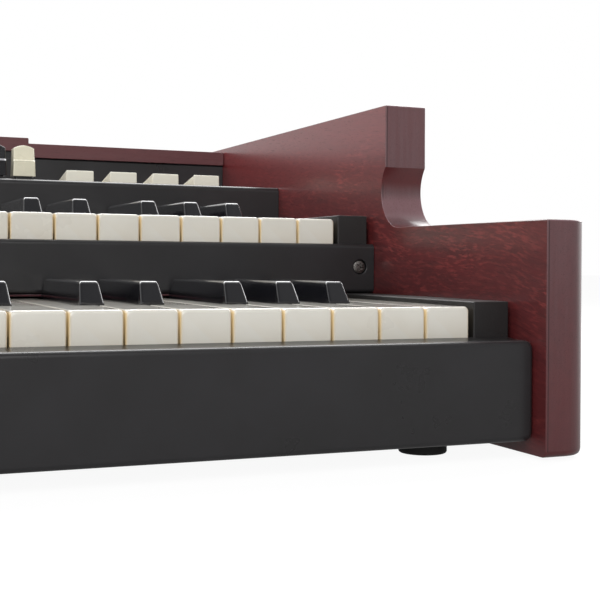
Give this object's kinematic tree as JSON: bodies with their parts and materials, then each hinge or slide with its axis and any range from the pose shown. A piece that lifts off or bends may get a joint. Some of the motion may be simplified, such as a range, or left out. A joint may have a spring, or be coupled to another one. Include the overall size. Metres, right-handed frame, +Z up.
{
  "type": "drawbar organ",
  "caption": "Two-manual drawbar organ: waterfall keyboards stepped between wooden cheeks, with drawbars, rocker tabs and a raised lid behind.",
  "frame": {"origin": "on the floor under the middle of the case", "axes": "+X along the keyboards to the player's right, +Y to the back, +Z up"},
  "size_m": [0.9486, 0.552, 0.1839],
  "materials": {
    "mahogany": "dark red stained wood with a satin lacquer",
    "powder_coat": "fine-textured black powder coat",
    "foot_rubber": "matt black rubber",
    "red_felt": "red felt",
    "black_plastic": "satin black plastic",
    "steel": "plated steel",
    "ivory_plastic": "glossy ivory-coloured plastic",
    "ebony_plastic": "glossy black plastic",
    "brown_plastic": "glossy brown plastic",
    "circuit_board": "green solder mask"
  },
  "bodies": {
    "case": {"cheek_left": "mahogany", "cheek_right": "mahogany", "top_lid": "mahogany", "front_rail": "powder_coat", "upper_front_panel": "powder_coat", "control_panel": "powder_coat", "back_panel": "powder_coat", "bottom_pan": "powder_coat", "foot_front_left": "foot_rubber", "foot_front_right": "foot_rubber", "foot_rear_left": "foot_rubber", "foot_rear_right": "foot_rubber", "lower_end_block_left": "black_plastic", "lower_end_block_right": "black_plastic", "upper_end_block_left": "black_plastic", "upper_end_block_right": "black_plastic", "lower_key_felt": "red_felt", "upper_key_felt": "red_felt", "panel_screw_left": "steel", "panel_screw_right": "steel", "lower_keybed": "steel", "upper_keybed": "steel", "drawbar_channel": "steel", "tab_channel": "steel", "main_board": "circuit_board", "power_supply": "steel", "power_inlet": "black_plastic", "jack_panel": "black_plastic"},
    "lower_key_c": {"lower_key_c": "ivory_plastic"},
    "lower_key_b": {"lower_key_b": "ivory_plastic"},
    "lower_key_a": {"lower_key_a": "ivory_plastic"},
    "lower_key_a_sharp": {"lower_key_a_sharp": "ebony_plastic"},
    "lower_key_g_sharp": {"lower_key_g_sharp": "ebony_plastic"},
    "lower_naturals": {"lower_naturals": "ivory_plastic"},
    "lower_sharps": {"lower_sharps": "ebony_plastic"},
    "upper_key_c": {"upper_key_c": "ivory_plastic"},
    "upper_key_b": {"upper_key_b": "ivory_plastic"},
    "upper_key_a": {"upper_key_a": "ivory_plastic"},
    "upper_key_a_sharp": {"upper_key_a_sharp": "ebony_plastic"},
    "upper_key_g_sharp": {"upper_key_g_sharp": "ebony_plastic"},
    "upper_naturals": {"upper_naturals": "ivory_plastic"},
    "upper_sharps": {"upper_sharps": "ebony_plastic"},
    "drawbar_1": {"drawbar_1": "brown_plastic"},
    "drawbar_2": {"drawbar_2": "brown_plastic"},
    "drawbar_3": {"drawbar_3": "ivory_plastic"},
    "drawbar_4": {"drawbar_4": "ivory_plastic"},
    "drawbar_5": {"drawbar_5": "ebony_plastic"},
    "drawbar_6": {"drawbar_6": "ivory_plastic"},
    "drawbar_7": {"drawbar_7": "ebony_plastic"},
    "drawbar_8": {"drawbar_8": "ebony_plastic"},
    "drawbar_9": {"drawbar_9": "ivory_plastic"},
    "drawbars_left": {"drawbars_left": "ivory_plastic"},
    "drawbars_pedal": {"drawbars_pedal": "brown_plastic"},
    "rocker_tab_1": {"rocker_tab_1": "ivory_plastic"},
    "rocker_tab_2": {"rocker_tab_2": "ivory_plastic"},
    "rocker_tab_3": {"rocker_tab_3": "ivory_plastic"},
    "rocker_tab_4": {"rocker_tab_4": "ivory_plastic"},
    "volume_knob": {"volume_knob": "black_plastic"},
    "vibrato_knob": {"vibrato_knob": "black_plastic"},
    "power_switch": {"power_switch": "black_plastic"}
  },
  "joints": [
    {"name": "lower_key_c_press", "type": "hinge", "parent": "case", "child": "lower_key_c", "pos_m": [0.4125, -0.0482, 0.0583], "axis": [1, 0, 0], "range_deg": [0, 2.8], "stiffness_Nm_per_rad": 1, "springref_deg": -8.59},
    {"name": "lower_key_b_press", "type": "hinge", "parent": "case", "child": "lower_key_b", "pos_m": [0.38893, -0.0482, 0.0583], "axis": [1, 0, 0], "range_deg": [0, 2.8], "stiffness_Nm_per_rad": 1, "springref_deg": -8.59},
    {"name": "lower_key_a_press", "type": "hinge", "parent": "case", "child": "lower_key_a", "pos_m": [0.36536, -0.0482, 0.0583], "axis": [1, 0, 0], "range_deg": [0, 2.8], "stiffness_Nm_per_rad": 1, "springref_deg": -8.59},
    {"name": "lower_key_a_sharp_press", "type": "hinge", "parent": "case", "child": "lower_key_a_sharp", "pos_m": [0.38051, -0.0482, 0.0583], "axis": [1, 0, 0], "range_deg": [0, 2.8], "stiffness_Nm_per_rad": 0.8, "springref_deg": -6.88},
    {"name": "lower_key_g_sharp_press", "type": "hinge", "parent": "case", "child": "lower_key_g_sharp", "pos_m": [0.35357, -0.0482, 0.0583], "axis": [1, 0, 0], "range_deg": [0, 2.8], "stiffness_Nm_per_rad": 0.8, "springref_deg": -6.88},
    {"name": "lower_naturals_press", "type": "hinge", "parent": "case", "child": "lower_naturals", "pos_m": [0, -0.0482, 0.0583], "axis": [1, 0, 0], "range_deg": [0, 2.8], "stiffness_Nm_per_rad": 33, "springref_deg": -8.59},
    {"name": "lower_sharps_press", "type": "hinge", "parent": "case", "child": "lower_sharps", "pos_m": [0, -0.0482, 0.0583], "axis": [1, 0, 0], "range_deg": [0, 2.8], "stiffness_Nm_per_rad": 18.4, "springref_deg": -6.88},
    {"name": "upper_key_c_press", "type": "hinge", "parent": "case", "child": "upper_key_c", "pos_m": [0.4125, 0.1043, 0.1043], "axis": [1, 0, 0], "range_deg": [0, 2.8], "stiffness_Nm_per_rad": 1, "springref_deg": -8.59},
    {"name": "upper_key_b_press", "type": "hinge", "parent": "case", "child": "upper_key_b", "pos_m": [0.38893, 0.1043, 0.1043], "axis": [1, 0, 0], "range_deg": [0, 2.8], "stiffness_Nm_per_rad": 1, "springref_deg": -8.59},
    {"name": "upper_key_a_press", "type": "hinge", "parent": "case", "child": "upper_key_a", "pos_m": [0.36536, 0.1043, 0.1043], "axis": [1, 0, 0], "range_deg": [0, 2.8], "stiffness_Nm_per_rad": 1, "springref_deg": -8.59},
    {"name": "upper_key_a_sharp_press", "type": "hinge", "parent": "case", "child": "upper_key_a_sharp", "pos_m": [0.38051, 0.1043, 0.1043], "axis": [1, 0, 0], "range_deg": [0, 2.8], "stiffness_Nm_per_rad": 0.8, "springref_deg": -6.88},
    {"name": "upper_key_g_sharp_press", "type": "hinge", "parent": "case", "child": "upper_key_g_sharp", "pos_m": [0.35357, 0.1043, 0.1043], "axis": [1, 0, 0], "range_deg": [0, 2.8], "stiffness_Nm_per_rad": 0.8, "springref_deg": -6.88},
    {"name": "upper_naturals_press", "type": "hinge", "parent": "case", "child": "upper_naturals", "pos_m": [0, 0.1043, 0.1043], "axis": [1, 0, 0], "range_deg": [0, 2.8], "stiffness_Nm_per_rad": 33, "springref_deg": -8.59},
    {"name": "upper_sharps_press", "type": "hinge", "parent": "case", "child": "upper_sharps", "pos_m": [0, 0.1043, 0.1043], "axis": [1, 0, 0], "range_deg": [0, 2.8], "stiffness_Nm_per_rad": 18.4, "springref_deg": -6.88},
    {"name": "rocker_tab_4_press", "type": "hinge", "parent": "case", "child": "rocker_tab_4", "pos_m": [0.40184, 0.0955, 0.1401], "axis": [1, 0, 0], "range_deg": [0, 11]},
    {"name": "rocker_tab_3_press", "type": "hinge", "parent": "case", "child": "rocker_tab_3", "pos_m": [0.37124, 0.0955, 0.1401], "axis": [1, 0, 0], "range_deg": [0, 11]},
    {"name": "rocker_tab_2_press", "type": "hinge", "parent": "case", "child": "rocker_tab_2", "pos_m": [0.34064, 0.0955, 0.1401], "axis": [1, 0, 0], "range_deg": [0, 11]},
    {"name": "rocker_tab_1_press", "type": "hinge", "parent": "case", "child": "rocker_tab_1", "pos_m": [0.31004, 0.0955, 0.1401], "axis": [1, 0, 0], "range_deg": [0, 11]},
    {"name": "drawbar_9_slide", "type": "slide", "parent": "case", "child": "drawbar_9", "axis": [0, 1, 0], "range_m": [0, 0.028]},
    {"name": "drawbar_8_slide", "type": "slide", "parent": "case", "child": "drawbar_8", "axis": [0, 1, 0], "range_m": [0, 0.028]},
    {"name": "drawbar_7_slide", "type": "slide", "parent": "case", "child": "drawbar_7", "axis": [0, 1, 0], "range_m": [0, 0.028]},
    {"name": "drawbar_6_slide", "type": "slide", "parent": "case", "child": "drawbar_6", "axis": [0, 1, 0], "range_m": [0, 0.028]},
    {"name": "drawbar_5_slide", "type": "slide", "parent": "case", "child": "drawbar_5", "axis": [0, 1, 0], "range_m": [0, 0.028]},
    {"name": "drawbar_4_slide", "type": "slide", "parent": "case", "child": "drawbar_4", "axis": [0, 1, 0], "range_m": [0, 0.028]},
    {"name": "drawbar_3_slide", "type": "slide", "parent": "case", "child": "drawbar_3", "axis": [0, 1, 0], "range_m": [0, 0.028]},
    {"name": "drawbar_2_slide", "type": "slide", "parent": "case", "child": "drawbar_2", "axis": [0, 1, 0], "range_m": [0, 0.028]},
    {"name": "drawbar_1_slide", "type": "slide", "parent": "case", "child": "drawbar_1", "axis": [0, 1, 0], "range_m": [0, 0.028]},
    {"name": "drawbars_left_slide", "type": "slide", "parent": "case", "child": "drawbars_left", "axis": [0, 1, 0], "range_m": [0, 0.028]},
    {"name": "drawbars_pedal_slide", "type": "slide", "parent": "case", "child": "drawbars_pedal", "axis": [0, 1, 0], "range_m": [0, 0.028]},
    {"name": "volume_knob_turn", "type": "hinge", "parent": "case", "child": "volume_knob", "pos_m": [-0.38989, 0.0991, 0.1441], "axis": [0, 0, 1], "range_deg": [-135, 135]},
    {"name": "vibrato_knob_turn", "type": "hinge", "parent": "case", "child": "vibrato_knob", "pos_m": [-0.34789, 0.0991, 0.1441], "axis": [0, 0, 1], "range_deg": [-75, 75]},
    {"name": "power_switch_rock", "type": "hinge", "parent": "case", "child": "power_switch", "pos_m": [0.34789, 0.2717, 0.0765], "axis": [1, 0, 0], "range_deg": [0, 18]}
  ]
}
